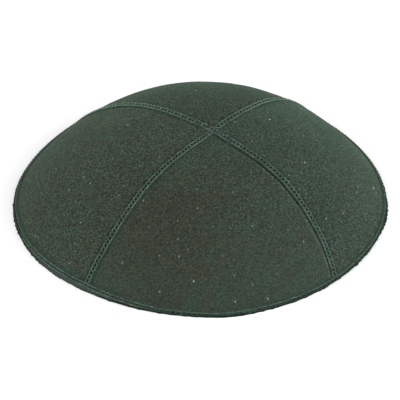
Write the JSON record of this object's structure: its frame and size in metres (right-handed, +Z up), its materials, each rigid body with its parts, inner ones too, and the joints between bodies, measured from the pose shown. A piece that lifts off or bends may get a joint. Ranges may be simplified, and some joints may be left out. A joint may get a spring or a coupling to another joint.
{
  "type": "kippah skullcap",
  "caption": "Shallow round skullcap of dark green suede panels that meet at the crown, with narrow raised stitched seams and a folded, stitched rim.",
  "frame": {"origin": "on the surface that the cap rests on, under the middle of its bounding box", "axes": "+Z up towards the crown, -Y towards the cap's front as pictured, +X to the viewer's right"},
  "size_m": [0.1782, 0.176, 0.0398],
  "materials": {
    "suede": "matte napped suede, mottled dark green",
    "seam_suede": "matte suede strip under close stitching, slightly greener than the panels",
    "rim_edging": "matte folded suede edging, darker along its lower fold",
    "thread": "dull green sewing thread, lighter than the suede"
  },
  "bodies": {
    "root": {"panel_front": "suede", "panel_right": "suede", "panel_back": "suede", "panel_left": "suede", "seam_band_over": "seam_suede", "seam_band_front_left": "seam_suede", "seam_band_back_right": "seam_suede", "rim_binding": "rim_edging"}
  },
  "joints": []
}
